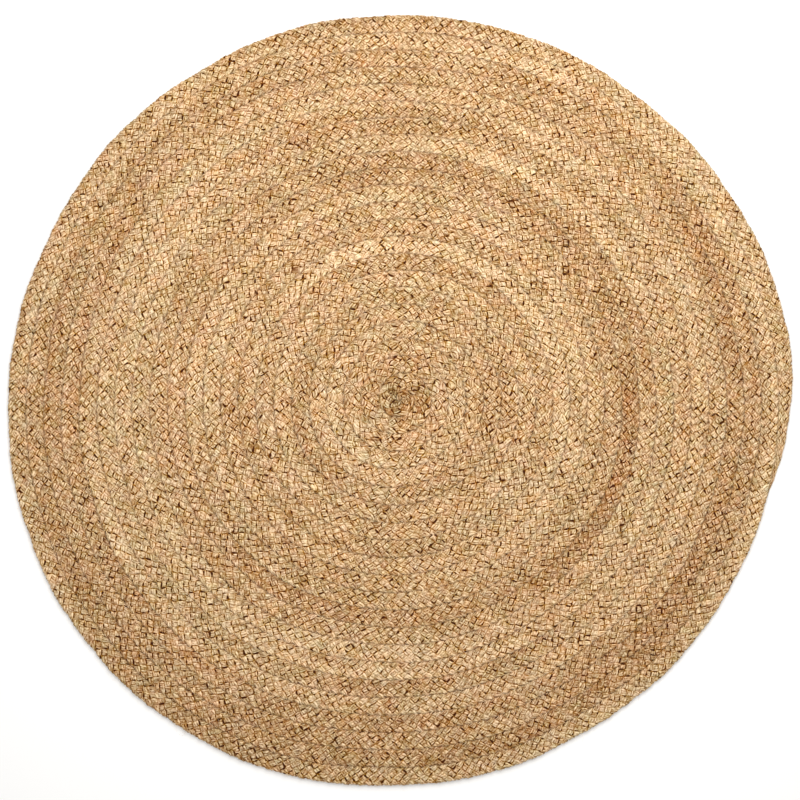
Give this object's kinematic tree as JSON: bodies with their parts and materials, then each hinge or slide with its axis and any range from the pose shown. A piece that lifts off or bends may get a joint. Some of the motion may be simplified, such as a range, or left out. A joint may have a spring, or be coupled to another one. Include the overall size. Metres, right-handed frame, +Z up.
{
  "type": "round plaited jute rug",
  "caption": "Flat round rug made of one jute plait wound into a spiral and sewn edge to edge, with a slightly uneven rim where the plait's end tapers in.",
  "frame": {"origin": "middle of the rug's bounding box, on the flat underside", "axes": "+Z up through the rug's thickness; +X and +Y lie in the rug's plane, with the tapered outer end of the plait on the +X side"},
  "size_m": [1.2, 1.181, 0.008],
  "materials": {
    "jute": "matte natural jute, plaited"
  },
  "bodies": {
    "root": {"plaited_rug": "jute"}
  },
  "joints": []
}
